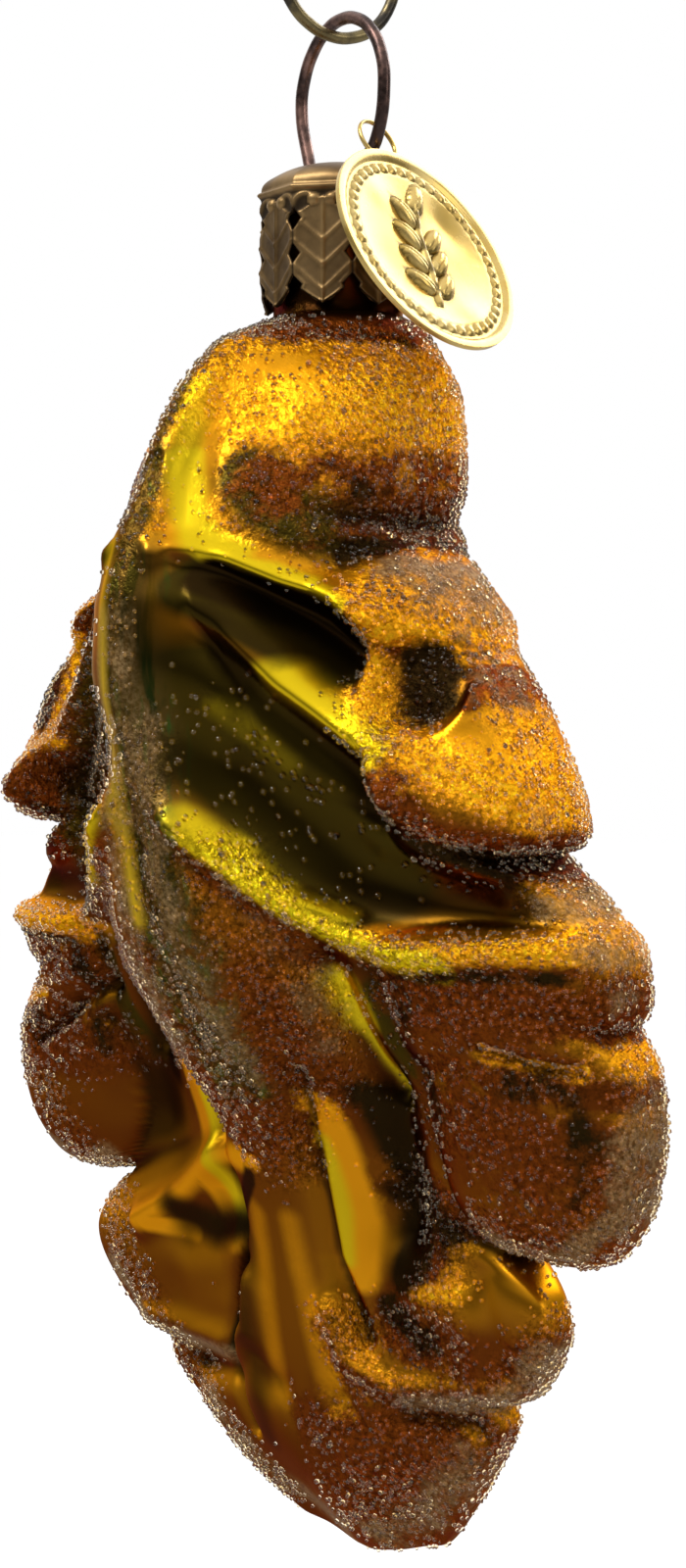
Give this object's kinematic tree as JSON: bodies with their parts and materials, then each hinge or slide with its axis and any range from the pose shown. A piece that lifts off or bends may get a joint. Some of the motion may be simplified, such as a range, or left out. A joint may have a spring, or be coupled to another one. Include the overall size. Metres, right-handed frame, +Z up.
{
  "type": "oak leaf ornament",
  "caption": "Hollow blown-glass oak leaf ornament with a stamped metal cap, a wire hanger ring, a round brass tag and an S-shaped hanging hook.",
  "frame": {"origin": "the point inside the hook's upper bend where a twig bears, which is what holds the ornament up", "axes": "+Z up, -Y out of the leaf's front face, +X to the leaf's right edge as seen from its front"},
  "size_m": [0.0563, 0.0289, 0.1395],
  "materials": {
    "glass_leaf": "silvered inside, clear amber, green and rust lacquer, with a frost of clear microbeads",
    "cap": "stamped, antiqued bronze brown",
    "hanger_wire": "dark bronze-plated spring wire",
    "tag": "polished, lightly dented",
    "ornament_hook": "dark antique brass-plated wire"
  },
  "bodies": {
    "hook": {"ornament_hook": "ornament_hook"},
    "ornament": {"glass_leaf": "glass_leaf", "cap": "cap", "hanger_wire": "hanger_wire"},
    "tag": {"tag": "tag"}
  },
  "joints": [
    {"name": "ornament_swing", "type": "hinge", "parent": "hook", "child": "ornament", "pos_m": [0, 0, -0.03157], "axis": [0.2588, 0.9659, 0], "range_deg": [-80, 80]},
    {"name": "tag_swing", "type": "hinge", "parent": "ornament", "child": "tag", "pos_m": [0.00468, -0.00125, -0.0395], "axis": [0, -1, 0], "range_deg": [0, 80]}
  ]
}
